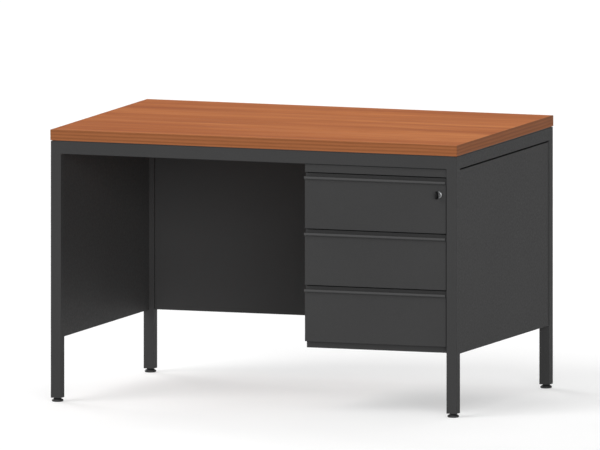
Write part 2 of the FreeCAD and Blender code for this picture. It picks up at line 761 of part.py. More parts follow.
def make_drawers():
    screw = pan_screw("box_screw")
    for number in range(1, DRAWERS + 1):
        make_drawer_front(number)
        make_drawer_box(number)
        group(f"drawer_{number}_screws", [
            (screw, f"{CASING_MIDDLE} + {side} * box_screw_offset", f"{CASING_FRONT} + box_sheet",
             f"{drawer_bottom(number)} + box_lift + {height}", (1, 0, 0), 90)
            for side in (-1, 1) for height in ("box_screw_low", "box_screw_high")])


def make_runners():
    """Fixed, middle and drawer members; the right-hand set is the left one turned half round."""
    outer = new_body("runner_outer_master")
    rail_section(outer, "0", "runner_sheet", "runner_outer_reach", "runner_height")
    inner = new_body("runner_inner_master")
    rail_section(inner, "runner_width", "runner_width - runner_sheet", "runner_inner_near",
                 "runner_inner_height")

    middle = new_body("runner_middle_master")
    section = sketch_on(middle, "XZ_Plane")
    half = "runner_middle_height / 2"
    within = "(runner_middle_height / 2 - runner_sheet)"
    web_far = "runner_middle_web + runner_sheet"
    add_polygon(section, [
        ("runner_middle_near", f"-{half}"), ("runner_middle_far", f"-{half}"),
        ("runner_middle_far", f"-{within}"), (web_far, f"-{within}"), (web_far, within),
        ("runner_middle_far", within), ("runner_middle_far", half), ("runner_middle_near", half),
        ("runner_middle_near", within), ("runner_middle_web", within),
        ("runner_middle_web", f"-{within}"), ("runner_middle_near", f"-{within}"),
    ])
    pad(section, "runner_length", backwards=True)

    for number in range(1, DRAWERS + 1):
        height = f"{drawer_bottom(number)} + box_lift + box_height / 2"
        start = f"{CASING_FRONT} + runner_start"
        left = ("casing_left + casing_sheet", start, height, (0, 1, 0), 0)
        right = (f"{CASING_RIGHT} - casing_sheet", start, height, (0, 1, 0), 180)
        for name, master in (("outer", outer), ("middle", middle), ("inner", inner)):
            group(f"runner_{number}_{name}", [(master, *left), (master, *right)])


def rail_section(body, back, back_inside, reach, height):
    """A C-shaped member: its back upright at one side, its flanges reaching across."""
    section = sketch_on(body, "XZ_Plane")
    half = f"{height} / 2"
    within = f"({height} / 2 - runner_sheet)"
    add_polygon(section, [(back, f"-{half}"), (reach, f"-{half}"), (reach, f"-{within}"),
                          (back_inside, f"-{within}"), (back_inside, within), (reach, within),
                          (reach, half), (back, half)])
    pad(section, "runner_length", backwards=True)


# ---- lock -----------------------------------------------------------------------------------------

# The lock's own Z axis points forward, out of the drawer front, from the front's face.
OUTWARD = ((1, 0, 0), 90)


def make_lock():
    barrel = node(new_body("lock_barrel", LOCK_X, FACE, LOCK_Z, *OUTWARD))
    revolve(barrel, [("lock_bore_radius", "-lock_shell_depth"), ("lock_shell_radius", "-lock_shell_depth"),
                     ("lock_shell_radius", "0"), ("rosette_radius", "0"),
                     ("rosette_radius", "rosette_rim"), ("rosette_slope_radius", "rosette_slope_height"),
                     ("rosette_face_radius", "rosette_height"),
                     ("lock_bore_radius", "rosette_height")])

    nut = hex_nut("lock_nut", "lock_nut_radius", "lock_shell_radius", "lock_nut_height")
    nut.Label = "lock_nut"
    place(nut, LOCK_X, f"{FACE} + lock_shell_depth", LOCK_Z, *OUTWARD)
    node(nut)

    plug = node(new_body("lock_plug", LOCK_X, FACE, LOCK_Z, *OUTWARD))
    revolve(plug, [("0", "-tail_depth"), ("tail_radius", "-tail_depth"),
                   ("tail_radius", "-lock_shell_depth"), ("plug_radius", "-lock_shell_depth"),
                   ("plug_radius", "plug_face"), ("0", "plug_face")])
    keyway = sketch_on(plug, "XY_Plane", "plug_face")
    add_rectangle(keyway, "-keyway_width / 2", "-keyway_height / 2", "keyway_width / 2",
                  "keyway_height / 2")
    pocket(keyway, "keyway_depth + plug_face")

    cam = node(new_body("lock_cam", LOCK_X, FACE, LOCK_Z, *OUTWARD))
    plate = sketch_on(cam, "XY_Plane", "-cam_near - cam_sheet")
    add_circle(plate, "0", "0", "cam_hub_radius")
    add_circle(plate, "0", "0", "tail_radius")
    pad(plate, "cam_sheet")
    arm = sketch_on(cam, "XY_Plane", "-cam_near - cam_sheet")
    add_rectangle(arm, "-cam_width / 2", "cam_arm_start", "cam_width / 2", "cam_length")
    pad(arm, "cam_sheet")
    tip = value("cam_length")
    fillet(cam, "cam_tip_round", lambda edge: runs_along(edge, "z") and any(
        passes(edge, x=side * value("cam_width / 2"), y=tip) for side in (-1, 1)))


def make_key():
    """The key in its keyway: a notched steel blade and a moulded bow with a ring hole."""
    blade = node(new_body("key_blade", LOCK_X, FACE, LOCK_Z, *OUTWARD))
    profile = sketch_on(blade, "YZ_Plane", "-key_sheet / 2")
    low, high = "-key_height / 2", "key_height / 2"
    corners = [(low, "bow_start"), (low, "key_tip_length - key_depth"), ("0", "-key_depth"),
               (high, "key_tip_length - key_depth")]
    for bit in range(KEY_BITS):
        corner = f"key_first_bit - key_depth + {bit} * key_bit_pitch"
        corners += [(high, corner), (f"{high} - key_bit_depth", f"{corner} + key_bit_pitch / 2")]
    corners += [(high, f"key_first_bit - key_depth + {KEY_BITS} * key_bit_pitch"), (high, "bow_start")]
    add_polygon(profile, corners)
    pad(profile, "key_sheet")

    bow = node(new_body("key_bow", LOCK_X, FACE, LOCK_Z, *OUTWARD))
    plate = sketch_on(bow, "YZ_Plane", "-bow_thickness / 2")
    end = "bow_start + bow_length"
    add_rectangle(plate, "-bow_height / 2", "bow_start", "bow_height / 2", end)
    add_circle(plate, "0", f"{end} - bow_hole_margin", "bow_hole_radius")
    pad(plate, "bow_thickness")
    for place_z, radius in ((end, "bow_outer_round"), ("bow_start", "bow_inner_round")):
        fillet(bow, radius, lambda edge: runs_along(edge, "x") and any(
            passes(edge, y=side * value("bow_height / 2"), z=value(place_z)) for side in (-1, 1)))
    half = value("bow_thickness / 2")
    fillet(bow, "bow_edge_round", lambda edge: any(passes(edge, x=side * half) for side in (-1, 1))
           and not passes(edge, x=half, y=value("bow_hole_radius")))


def make_strike():
    """An angle on the casing's right wall that the turned cam stands behind."""
    strike = node(new_body("lock_strike", f"{CASING_RIGHT} - casing_sheet",
                           f"{CASING_FRONT} + strike_behind", f"{LOCK_Z} - strike_length / 2"))
    section = sketch_on(strike, "XY_Plane")
    add_polygon(section, [("0", "0"), ("0", "strike_depth"), ("-casing_sheet", "strike_depth"),
                          ("-casing_sheet", "casing_sheet"), ("-strike_reach", "casing_sheet"),
                          ("-strike_reach", "0")])
    pad(section, "strike_length")


# ---- build and write ------------------------------------------------------------------------------

make_tabletop()
make_edge_bands()
shared_wood_screw = make_top_fixings()
make_legs()
make_rails()
make_feet()
make_panels()
make_casing()
make_hangers(shared_wood_screw)
make_drawers()
make_runners()
make_lock()
make_key()
make_strike()
doc.recompute()

for item in doc.Objects:
    if "Invalid" in item.State or "Error" in item.State:
        raise RuntimeError(f"{item.Label}: {item.State}")
os.makedirs("parts", exist_ok=True)
for item in nodes:
    shape = item.Shape
    if shape.isNull() or not shape.isValid():
        raise RuntimeError(item.Label + ": no valid shape")
for item in nodes:
    item.Shape.exportStep(f"parts/{item.Label}.step")
    print(f"{item.Label:28s} {len(item.Shape.Solids):2d} solids  {item.Shape.Volume / 1000:10.1f} cm3")
print(len(nodes), "nodes")
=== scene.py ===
import json
import math

import bmesh
import bpy
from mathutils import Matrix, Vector

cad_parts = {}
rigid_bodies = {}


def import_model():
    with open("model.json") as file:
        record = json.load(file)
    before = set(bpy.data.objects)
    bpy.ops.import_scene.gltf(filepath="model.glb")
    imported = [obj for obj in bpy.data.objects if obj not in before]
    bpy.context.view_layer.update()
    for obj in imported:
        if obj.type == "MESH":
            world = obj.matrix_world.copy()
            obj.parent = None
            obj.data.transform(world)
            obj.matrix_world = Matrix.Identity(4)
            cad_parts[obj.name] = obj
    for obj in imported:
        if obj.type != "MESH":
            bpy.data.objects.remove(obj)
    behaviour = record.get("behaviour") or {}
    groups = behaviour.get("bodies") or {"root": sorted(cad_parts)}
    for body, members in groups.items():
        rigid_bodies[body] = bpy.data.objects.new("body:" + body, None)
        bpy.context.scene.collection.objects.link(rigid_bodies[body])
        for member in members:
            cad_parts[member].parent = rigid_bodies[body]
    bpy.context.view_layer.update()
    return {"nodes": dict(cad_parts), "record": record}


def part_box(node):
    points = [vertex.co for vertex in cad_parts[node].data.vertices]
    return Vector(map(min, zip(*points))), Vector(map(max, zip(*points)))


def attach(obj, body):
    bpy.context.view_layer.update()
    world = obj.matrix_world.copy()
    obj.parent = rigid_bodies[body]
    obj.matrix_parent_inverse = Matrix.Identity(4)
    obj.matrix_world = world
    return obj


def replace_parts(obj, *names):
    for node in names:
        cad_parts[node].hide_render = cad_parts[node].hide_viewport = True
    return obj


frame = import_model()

# A steel-framed teacher desk with a wood-decor top and a hung three-drawer pedestal.
# Metres, in the frame of the CAD model: +X to the right seen from the front, front towards -Y, +Z up.

MM = 0.001
TURN = 2 * math.pi


# ---- camera ---------------------------------------------------------------------------------------
# A parallel view from the front right, a little above the top.

VIEW_AZIMUTH = math.radians(19.643)
VIEW_ELEVATION = math.radians(6.483)
VIEW_WIDTH = 1.6681          # across the frame
VIEW_DISTANCE = 6.0
VIEW_SIDE = 0.137            # where the middle of the frame meets the plane of the legs' fronts
VIEW_HEIGHT = 0.5228


def direction(azimuth, elevation):
    """A unit vector from the object towards a viewer or a lamp; azimuth 0 is the front."""
    return Vector((math.sin(azimuth) * math.cos(elevation), -math.cos(azimuth) * math.cos(elevation),
                   math.sin(elevation)))


def make_camera():
    back = direction(VIEW_AZIMUTH, VIEW_ELEVATION)
    legs_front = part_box("leg_front_left")[0].y
    camera = bpy.data.objects.new("camera", bpy.data.cameras.new("camera"))
    camera.data.type = "ORTHO"
    camera.data.ortho_scale = VIEW_WIDTH
    camera.data.clip_end = 100
    camera.location = Vector((VIEW_SIDE, legs_front, VIEW_HEIGHT)) + back * VIEW_DISTANCE
    camera.rotation_mode = "QUATERNION"
    camera.rotation_quaternion = (-back).to_track_quat("-Z", "Y")
    bpy.context.scene.collection.objects.link(camera)
    bpy.context.scene.camera = camera


make_camera()


# ---- shader helper --------------------------------------------------------------------------------

class Shader:
    """A material's node tree, with short calls for the nodes that the looks below share."""

    def __init__(self, name, roughness, specular=0.5, metallic=0.0):
        self.material = bpy.data.materials.new(name)
        self.material.use_nodes = True
        self.tree = self.material.node_tree
        self.surface = self.tree.nodes["Principled BSDF"]
        self.surface.inputs["Roughness"].default_value = roughness
        self.surface.inputs["Specular IOR Level"].default_value = specular
        self.surface.inputs["Metallic"].default_value = metallic
        self.place = self.node("ShaderNodeTexCoord").outputs["Object"]

    def node(self, kind, inputs=(), **settings):
        """A new node; inputs is a row of (name or number, value or socket) pairs."""
        made = self.tree.nodes.new(kind)
        for key, setting in settings.items():
            setattr(made, key, setting)
        for key, given in inputs:
            if isinstance(given, bpy.types.NodeSocket):
                self.tree.links.new(given, made.inputs[key])
            else:
                made.inputs[key].default_value = given
        return made

    def set(self, name, source):
        """Drive one of the surface's own inputs."""
        self.tree.links.new(source, self.surface.inputs[name])

    def noise(self, scale, detail=3.0, roughness=0.5, distortion=0.0, shift=0.0):
        """Noise over object coordinates; scale is how many features there are in a metre, by axis."""
        placed = self.node("ShaderNodeMapping", (("Vector", self.place), ("Scale", scale),
                                                 ("Location", (shift, shift, shift))))
        return self.node("ShaderNodeTexNoise", (
            ("Vector", placed.outputs["Vector"]), ("Scale", 1.0), ("Detail", detail),
            ("Roughness", roughness), ("Distortion", distortion))).outputs["Fac"]

    def ramp(self, source, *stops):
        """A colour ramp over source; each stop is (position, colour)."""
        made = self.node("ShaderNodeValToRGB", (("Fac", source),))
        elements = made.color_ramp.elements
        while len(elements) < len(stops):
            elements.new(0.5)
        for element, (position, colour) in zip(elements, stops):
            element.position = position
            element.color = (*colour, 1.0)
        return made.outputs["Color"]

    def range(self, source, start, stop, low, high):
        """Carry start..stop to low..high, held at the ends."""
        return self.node("ShaderNodeMapRange", (
            ("Value", source), ("From Min", start), ("From Max", stop),
            ("To Min", low), ("To Max", high))).outputs["Result"]

    def math(self, operation, first, second=0.0):
        return self.node("ShaderNodeMath", ((0, first), (1, second)), operation=operation).outputs[0]

    def mix(self, factor, first, second, kind="MIX"):
        """Mix two colours; each is a colour or a socket."""
        first, second = [given if isinstance(given, bpy.types.NodeSocket) else (*given, 1.0)
                         for given in (first, second)]
        return self.node("ShaderNodeMix", ((0, factor), (6, first), (7, second)), data_type="RGBA",
                         blend_type=kind).outputs[2]

    def bump(self, height, strength, distance):
        """Add relief; later calls stack on earlier ones."""
        made = self.node("ShaderNodeBump", (("Height", height), ("Strength", strength),
                                            ("Distance", distance)))
        normal = self.surface.inputs["Normal"]
        if normal.is_linked:
            self.tree.links.new(normal.links[0].from_socket, made.inputs["Normal"])
        self.tree.links.new(made.outputs["Normal"], normal)

    def edges(self, radius):
        """0 on flat faces, rising towards 1 within radius of a sharp edge."""
        bevel = self.node("ShaderNodeBevel", (("Radius", radius),), samples=4)
        flat = self.node("ShaderNodeNewGeometry").outputs["Normal"]
        dot = self.node("ShaderNodeVectorMath", ((0, bevel.outputs["Normal"]), (1, flat)),
                        operation="DOT_PRODUCT").outputs["Value"]
        return self.range(dot, FLAT_COSINE, EDGE_COSINE, 0.0, 1.0)


# Cosines between the real and the bevelled normal: on a flat face, and where an edge counts in full.
FLAT_COSINE = 0.995
EDGE_COSINE = 0.80


def scaled(colour, factor):
    return tuple(channel * factor for channel in colour)


def grey(level):
    return (level, level, level)


def grained(along, counts):
    """A noise's scale from its features in a metre, (along the grain, across it)."""
    return tuple(counts[0] if axis else counts[1] for axis in along)


# ---- materials ------------------------------------------------------------------------------------

WOOD = (0.415, 0.129, 0.034)
WOOD_DARK = (0.325, 0.089, 0.0215)
WOOD_LIGHT = (0.515, 0.186, 0.057)
EDGE = (0.193, 0.069, 0.0265)
PAINT = (0.0297, 0.0297, 0.0299)
# The drawers' lips get a painted highlight: their paint is made lighter in front of the fascia's face,
# standing in for the light that their rounded fronts catch.
LIP_PAINTED_HIGHLIGHT = 1.5             # how much lighter the drawers' lips are than the rest of the paint
LIP_HIGHLIGHT_START = 2 * MM        # in front of the fascia's face
LIP_HIGHLIGHT_FULL = 5 * MM
PLASTIC = (0.018, 0.018, 0.0185)
KEY_PLASTIC = (0.0040, 0.0040, 0.0042)
ZINC = (0.58, 0.59, 0.60)
CHROME = (0.21, 0.2125, 0.2165)

STRIPE_PITCH = 9.6 * MM      # of the lines printed along the edging
FIRST_STRIPE = 3.4 * MM      # below the top face
STRIPE_WANDER = 0.16         # of the pitch, to either side

# Features in a metre, (along the grain, across it)
FIBRES = (12.0, 850.0)
PORES = (70.0, 1500.0)
EDGING_WANDER = (3.0, 20.0)
EDGING_FINE = (2.0, 420.0)
FIGURE_LINES = 26            # rings of the wood's figure over the field's whole range


def fibres(shader, colour, along, strength):
    """Fine fibres and short dark pores of a printed wood, running along one axis."""
    fibre = shader.noise(grained(along, FIBRES), 2.0)
    pore = shader.noise(grained(along, PORES), 2.0, shift=3.7)
    colour = shader.mix(strength, colour, shader.ramp(fibre, (0.32, (0.80, 0.74, 0.70)),
                                                      (0.68, (1.12, 1.14, 1.16))), "MULTIPLY")
    colour = shader.mix(strength, colour, shader.ramp(pore, (0.27, (0.42, 0.34, 0.30)),
                                                      (0.34, grey(1.0))), "MULTIPLY")
    shader.bump(fibre, 0.10, 0.3 * MM)
    shader.bump(pore, 0.14, 0.3 * MM)
    return colour


def make_wood():
    """Satin melamine with a warm pear decor: broad soft bands, a flat-sawn figure and fine fibres."""
    shader = Shader("pear_decor", roughness=0.55, specular=0.03)
    along = (1, 0, 0)
    band = shader.noise((0.9, 13.0, 13.0), 4.0, 0.55, 0.2)
    streak = shader.noise((2.0, 60.0, 60.0), 4.0, 0.6, 0.3, shift=5.1)
    line = shader.noise((4.0, 230.0, 230.0), 3.0, 0.6, 0.2, shift=2.2)
    field = shader.noise((0.9, 5.5, 5.5), 2.0, 0.4, 0.25, shift=9.3)
    rings = shader.math("SINE", shader.math("MULTIPLY", field, TURN * FIGURE_LINES))
    colour = shader.ramp(band, (0.30, WOOD_DARK), (0.50, WOOD), (0.70, WOOD_LIGHT))
    colour = shader.mix(0.55, colour, shader.ramp(streak, (0.32, (0.86, 0.80, 0.76)),
                                                  (0.68, (1.10, 1.14, 1.18))), "MULTIPLY")
    colour = shader.mix(0.60, colour, shader.ramp(line, (0.34, (0.88, 0.84, 0.80)),
                                                  (0.66, (1.09, 1.11, 1.13))), "MULTIPLY")
    colour = shader.mix(0.30, colour, shader.ramp(shader.range(rings, -1.0, 1.0, 0.0, 1.0),
                                                  (0.0, (0.86, 0.80, 0.74)), (0.45, grey(1.03)),
                                                  (1.0, grey(1.05))), "MULTIPLY")
    shader.set("Base Color", fibres(shader, colour, along, 0.45))
    shader.set("Roughness", shader.range(streak, 0.3, 0.7, 0.48, 0.62))
    return shader.material


def make_edging(name, along):
    """Thick edging with soft lines printed along it."""
    shader = Shader(name, roughness=0.5, specular=0.03)
    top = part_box("tabletop_core")[1].z
    height = shader.node("ShaderNodeSeparateXYZ", ((0, shader.place),)).outputs["Z"]
    wander = shader.noise(grained(along, EDGING_WANDER), 3.0)
    below = shader.math("DIVIDE", shader.math("SUBTRACT", top - FIRST_STRIPE, height), STRIPE_PITCH)
    aside = shader.range(wander, 0.3, 0.7, -STRIPE_WANDER, STRIPE_WANDER)
    turns = shader.math("ADD", below, aside)
    stripe = shader.math("COSINE", shader.math("MULTIPLY", turns, TURN))
    fine = shader.noise(grained(along, EDGING_FINE), 3.0, 0.6)
    colour = shader.ramp(shader.range(stripe, -1.0, 1.0, 0.0, 1.0), (0.0, scaled(EDGE, 1.08)),
                         (0.55, scaled(EDGE, 1.0)), (1.0, scaled(EDGE, 0.80)))
    colour = shader.mix(0.5, colour, shader.ramp(fine, (0.3, (0.86, 0.82, 0.80)),
                                                 (0.7, (1.10, 1.12, 1.14))), "MULTIPLY")
    scuff = shader.noise((60, 60, 60), 4.0, 0.6, shift=6.4)
    worn = shader.math("MULTIPLY", shader.edges(0.8 * MM), shader.range(scuff, 0.40, 0.65, 0.0, 0.5))
    shader.set("Base Color", shader.mix(worn, fibres(shader, colour, along, 0.35), scaled(EDGE, 1.5)))
    shader.set("Roughness", shader.range(fine, 0.3, 0.7, 0.44, 0.58))
    return shader.material


def make_paint(name, lip_highlight=1.0):
    """Fine-textured anthracite powder coat, worn lighter in places along its edges. With the second
    argument above 1 it is painted that much lighter where it stands out in front of the drawers' faces,
    as their lips do: a painted highlight for the light that the lips' rounded fronts catch."""
    shader = Shader(name, roughness=0.5, specular=0.06)
    grain = shader.noise((1100, 1100, 1100), 2.0)
    flow = shader.noise((170, 170, 170), 2.0, shift=2.3)
    cloud = shader.noise((3.0, 3.0, 3.0), 3.0)
    scuff = shader.noise((45, 45, 45), 4.0, 0.6, shift=7.1)
    colour = shader.ramp(cloud, (0.3, scaled(PAINT, 0.96)), (0.7, scaled(PAINT, 1.04)))
    texture = shader.ramp(grain, (0.35, grey(0.88)), (0.65, grey(1.10)))
    colour = shader.mix(1.0, colour, texture, "MULTIPLY")
    # Painted highlight on the drawers' lips: lighter paint where the surface stands in front of the
    # fascia's face.
    if lip_highlight > 1.0:
        depth = shader.node("ShaderNodeSeparateXYZ", ((0, shader.place),)).outputs["Y"]
        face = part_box("pedestal_fascia")[0].y
        painted_highlight_mask = shader.range(depth, face - LIP_HIGHLIGHT_START, face - LIP_HIGHLIGHT_FULL, 0.0, 1.0)
        colour = shader.mix(painted_highlight_mask, colour, scaled(PAINT, lip_highlight))
    worn = shader.math("MULTIPLY", shader.edges(1.0 * MM), shader.range(scuff, 0.42, 0.62, 0.0, 0.4))
    shader.set("Base Color", shader.mix(worn, colour, scaled(PAINT, 1.7)))
    shader.set("Roughness", shader.math("SUBTRACT", shader.range(flow, 0.3, 0.7, 0.46, 0.60),
                                        shader.math("MULTIPLY", worn, 0.15)))
    shader.bump(flow, 0.10, 0.5 * MM)
    shader.bump(grain, 0.15, 0.2 * MM)
    return shader.material


def make_zinc():
    """Bright zinc plate over rolled steel: faint patches and lengthwise rolling lines."""
    shader = Shader("zinc_plate", roughness=0.34, metallic=1.0)
    patch = shader.noise((90, 90, 90), 3.0, 0.6, 0.6)
    rolled = shader.noise((900, 14, 900), 3.0, 0.6)
    colour = shader.ramp(patch, (0.35, scaled(ZINC, 0.82)), (0.65, ZINC))
    shader.set("Base Color", shader.mix(0.5, colour, shader.ramp(rolled, (0.3, grey(0.84)),
                                                                 (0.7, grey(1.0))), "MULTIPLY"))
    shader.set("Roughness", shader.range(patch, 0.3, 0.7, 0.26, 0.42))
    shader.bump(rolled, 0.06, 0.3 * MM)
    return shader.material


def make_chrome():
    """Satin chrome with the faint haze of handling."""
    shader = Shader("satin_chrome", roughness=0.40, metallic=1.0)
    haze = shader.noise((260, 260, 260), 4.0, 0.6)
    scratch = shader.noise((2400, 120, 2400), 2.0, shift=4.4)
    shader.set("Base Color", shader.ramp(haze, (0.35, scaled(CHROME, 0.93)), (0.65, CHROME)))
    shader.set("Roughness", shader.range(haze, 0.3, 0.7, 0.36, 0.46))
    shader.bump(scratch, 0.04, 0.1 * MM)
    return shader.material


def make_plastic(name, base, specular):
    """Moulded plastic with a fine spark-eroded grain, polished on its edges by use."""
    shader = Shader(name, roughness=0.5, specular=specular)
    grain = shader.noise((1500, 1500, 1500), 3.0, 0.6)
    colour = shader.ramp(grain, (0.3, scaled(base, 0.85)), (0.7, scaled(base, 1.15)))
    worn = shader.edges(0.6 * MM)
    shader.set("Base Color", shader.mix(shader.math("MULTIPLY", worn, 0.35), colour,
                                        scaled(base, 2.2)))
    shader.set("Roughness", shader.math("SUBTRACT", shader.range(grain, 0.3, 0.7, 0.44, 0.60),
                                        shader.math("MULTIPLY", worn, 0.12)))
    shader.bump(grain, 0.18, 0.2 * MM)
    return shader.material


looks = {
    "wood_decor": make_wood(),
    "edge_decor": make_edging("pear_edging_long", (1, 0, 0)),
    "anthracite_paint": make_paint("anthracite_powder_coat"),
    "zinc_steel": make_zinc(),
    "chrome": make_chrome(),
    "black_plastic": make_plastic("black_moulded_plastic", PLASTIC, 0.25),
}
short_edging = make_edging("pear_edging_short", (0, 1, 0))
# A copy of the paint with a painted highlight on the drawers' lips.
lip_highlight_paint = make_paint("anthracite_powder_coat_handled", LIP_PAINTED_HIGHLIGHT)
key_plastic = make_plastic("key_head_plastic", KEY_PLASTIC, 0.15)

special_looks = {"edge_band_left": short_edging, "edge_band_right": short_edging,
                 "drawer_1_front": lip_highlight_paint, "drawer_2_front": lip_highlight_paint,
                 "drawer_3_front": lip_highlight_paint}

slots = {row["node"]: row["material_slot"] for row in frame["record"]["subparts"]}
for name, item in frame["nodes"].items():
    look = special_looks.get(name, looks[slots[name]])
    item.data.materials.clear()
    item.data.materials.append(look)


# ---- pieces ---------------------------------------------------------------------------------------
# Forms are made in world coordinates, out of rows of equal loops of points.

RIGHT, BACK, UP = Vector((1, 0, 0)), Vector((0, 1, 0)), Vector((0, 0, 1))


def skin(form, loops, closed=False):
    """Join a row of equal loops with quads; cap the ends unless the row itself closes."""
    rows = [[form.verts.new(point) for point in loop] for loop in loops]
    following = rows[1:] + (rows[:1] if closed else [])
    for row, after in zip(rows, following):
        for index in range(len(row)):
            ahead = (index + 1) % len(row)
            form.faces.new((row[index], row[ahead], after[ahead], after[index]))
    if not closed:
        form.faces.new(rows[0])
        form.faces.new(rows[-1])


def add_piece(name, form, slot, body, crease=35):
    """Make a form into a piece that rides on a body; edges sharper than crease stay sharp."""
    bmesh.ops.recalc_face_normals(form, faces=form.faces)
    mesh = bpy.data.meshes.new(name)
    form.to_mesh(mesh)
    form.free()
    mesh.shade_smooth()
    mesh.set_sharp_from_angle(angle=math.radians(crease))
    mesh.materials.append(looks[slot])
    piece = bpy.data.objects.new(name, mesh)
    bpy.context.scene.collection.objects.link(piece)
    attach(piece, body)
    return piece


def body_of(node):
    return frame["nodes"][node].parent.name.removeprefix("body:")


def soften(corners, steps=5):
    """A line through corners, each (across, along, rounding), with the corners rounded off."""
    line = []
    for index, (across, along, rounding) in enumerate(corners):
        here = Vector((across, along))
        if not rounding:
            line.append(here)
            continue
        before = Vector(corners[index - 1][:2])
        after = Vector(corners[(index + 1) % len(corners)][:2])
        start = here + (before - here).normalized() * rounding
        end = here + (after - here).normalized() * rounding
        for step in range(steps + 1):
            part = step / steps
            line.append(start.lerp(here, part).lerp(here.lerp(end, part), part))
    return line


def in_metres(corners):
    return [tuple(number * MM for number in corner) for corner in corners]


def turn(angle):
    return math.cos(angle), math.sin(angle)


def ring(centre, axis, radius, along, count=48):
    """A loop of points round an axis; radius is a length or a function of the angle."""
    side = axis.orthogonal().normalized()
    up = axis.cross(side)
    loop = []
    for index in range(count):
        angle = TURN * index / count
        reach = radius(angle) if callable(radius) else radius
        across, over = turn(angle)
        loop.append(centre + axis * along + (side * across + up * over) * reach)
    return loop


def lathe(form, centre, axis, line, count=48, closed=False):
    """Turn a line of (radius, along) points round an axis."""
    skin(form, [ring(centre, axis, radius, along, count) for radius, along in line], closed)


# The frame's joints: rails butt against the legs' inner sides, welded inside and dressed flush outside.

BEAD_RADIUS = 2.4 * MM
BEAD_RIPPLE = 0.16 * MM
BEAD_PITCH = 1.5 * MM
BEAD_MARGIN = 3.0 * MM
BEAD_TIP = 0.2 * MM          # the least radius, at a bead's ends
BEAD_STEPS = 6               # loops in each ripple
BEAD_COUNT = 14              # points in a loop


def bead(form, start, end):
    """A fillet weld's bead, rippled along its length and rounded at its ends."""
    run = end - start
    axis, length = run.normalized(), run.length
    steps = round(length / BEAD_PITCH) * BEAD_STEPS
    line = []
    for step in range(steps + 1):
        along = length * step / steps
        from_end = min(along, length - along) / BEAD_RADIUS
        swell = math.sqrt(1 - (1 - min(from_end, 1)) ** 2)
        ripple = BEAD_RIPPLE * abs(math.sin(math.pi * along / BEAD_PITCH))
        line.append((max(BEAD_RADIUS * swell - ripple, BEAD_TIP), along))
    lathe(form, start, axis, line, BEAD_COUNT)


def dressing(form, foot, length, along_face, outwards):
    """A strip that fills the groove where a rail's end meets a leg's rounded edge, ground flush."""
    half, depth, crown, flush = 1.5 * MM, 0.6 * MM, 0.05 * MM, -0.02 * MM
    section = [(-half, -depth), (half, -depth), (half, flush), (half * 0.6, crown * 0.6), (0, crown),
               (-half * 0.6, crown * 0.6), (-half, flush)]
    loops = []
    for height in (0, length):
        loops.append([foot + UP * height + along_face * across + outwards * over
                      for across, over in section])
    skin(form, loops)


def make_joints():
    beads, strips = bmesh.new(), bmesh.new()
    for rail, outwards in (("rail_front", -BACK), ("rail_rear", BACK), ("rail_left", -RIGHT),
                           ("rail_right", RIGHT)):
        low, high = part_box(rail)
        along = RIGHT if abs(outwards.y) else BACK
        middle, half = (low + high) / 2, (high - low) / 2
        reach, thick = abs(half.dot(along)), abs(half.dot(outwards))
        for sense in (-1, 1):
            end = middle + along * (sense * reach)
            inner = end - outwards * thick
            bead(beads, inner + UP * (BEAD_MARGIN - half.z), inner + UP * (half.z - BEAD_MARGIN))
            under = end - UP * half.z
            bead(beads, under - outwards * thick, under + outwards * (thick - BEAD_MARGIN))
            dressing(strips, end + outwards * thick - UP * half.z, 2 * half.z, along, outwards)
    add_piece("frame_weld_beads", beads, "anthracite_paint", "root", 60)
    add_piece("frame_weld_dressing", strips, "anthracite_paint", "root", 60)


# A strip of foam tape that the top rests on, all round the frame.

TAPE_INSET = 1.2 * MM
TAPE_WIDTH = 17.0 * MM
TAPE_CORNER = 9.0 * MM
TAPE_PLAY = 0.05 * MM


def make_tape():
    low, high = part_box("leg_front_left")[0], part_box("leg_rear_right")[1]
    bottom, top = high.z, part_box("tabletop_core")[0].z - TAPE_PLAY
    inset = TAPE_INSET + TAPE_WIDTH / 2
    left, front, right, rear = low.x + inset, low.y + inset, high.x - inset, high.y - inset
    route = soften([(left, front, TAPE_CORNER), (right, front, TAPE_CORNER), (right, rear, TAPE_CORNER),
                    (left, rear, TAPE_CORNER)], 8)
    half, rounding = TAPE_WIDTH / 2, 0.5 * MM
    section = soften([(-half, bottom, 0.1 * MM), (half, bottom, 0.1 * MM), (half, top, rounding),
                      (-half, top, rounding)], 3)
    loops = []
    for index, here in enumerate(route):
        way = (route[(index + 1) % len(route)] - route[index - 1]).normalized()
        outwards = Vector((way.y, -way.x, 0))
        loops.append([Vector((here.x, here.y, height)) + outwards * across
                      for across, height in section])
    form = bmesh.new()
    skin(form, loops, closed=True)
    add_piece("frame_foam_tape", form, "black_plastic", "root", 40)


# Levelling feet: a moulded glide on a threaded steel stud.

# (radius, height, rounding) in millimetres
GLIDE = ((10.4, 0.7, 0.4), (11.4, 0.0, 0.5), (13.0, 0.0, 0.8), (15.6, 1.2, 0.6), (16.4, 2.8, 0.5),
         (16.4, 4.8, 0.7), (15.2, 6.2, 0.7), (9.6, 9.6, 1.2), (9.0, 11.2, 0.3), (8.7, 11.5, 0))
THREAD_PITCH = 1.25 * MM
THREAD_DEPTH = 0.55 * MM
THREAD_ROWS = 6              # loops in each pitch
STUD_RADIUS = 3.98 * MM
STUD_START = 10.5 * MM       # above the foot's underside, inside the glide
STUD_TIP = 0.6               # of the radius, at the stud's top end
STUD_COUNT = 24


